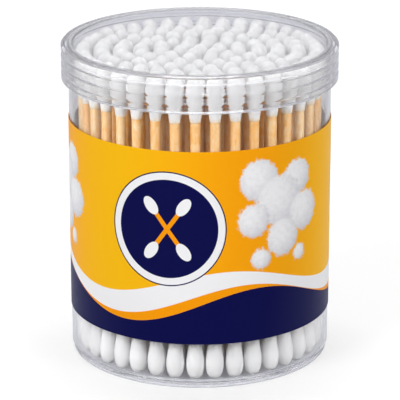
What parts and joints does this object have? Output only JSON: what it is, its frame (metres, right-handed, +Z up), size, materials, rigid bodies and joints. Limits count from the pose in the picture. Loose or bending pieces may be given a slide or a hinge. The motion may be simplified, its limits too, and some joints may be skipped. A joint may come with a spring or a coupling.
{
  "type": "cotton swab box",
  "caption": "Round clear drum with a pull-off ridged lid and a wrapped label, packed with upright wooden cotton swabs.",
  "frame": {"origin": "centre of the foot ring, on the table", "axes": "+Z up along the drum's axis, -Y towards the front of the label, +X to the right"},
  "size_m": [0.069, 0.069, 0.0798],
  "materials": {
    "clear_plastic": "clear moulded polystyrene, polished",
    "printed_film": "glossy printed film",
    "wood": "plain turned birch",
    "cotton": "wound cotton wool"
  },
  "bodies": {
    "drum": {"jar": "clear_plastic", "label": "printed_film", "wall_row_sticks": "wood", "wall_row_top_cotton": "cotton", "wall_row_bottom_cotton": "cotton", "second_row_sticks": "wood", "second_row_top_cotton": "cotton", "second_row_bottom_cotton": "cotton", "third_row_sticks": "wood", "third_row_top_cotton": "cotton", "third_row_bottom_cotton": "cotton", "fourth_row_sticks": "wood", "fourth_row_top_cotton": "cotton", "fourth_row_bottom_cotton": "cotton", "core_sticks": "wood", "core_top_cotton": "cotton", "core_bottom_cotton": "cotton"},
    "lid": {"lid": "clear_plastic"}
  },
  "joints": [
    {"name": "lid_lift", "type": "slide", "parent": "drum", "child": "lid", "axis": [0, 0, 1], "range_m": [0, 0.04]}
  ]
}
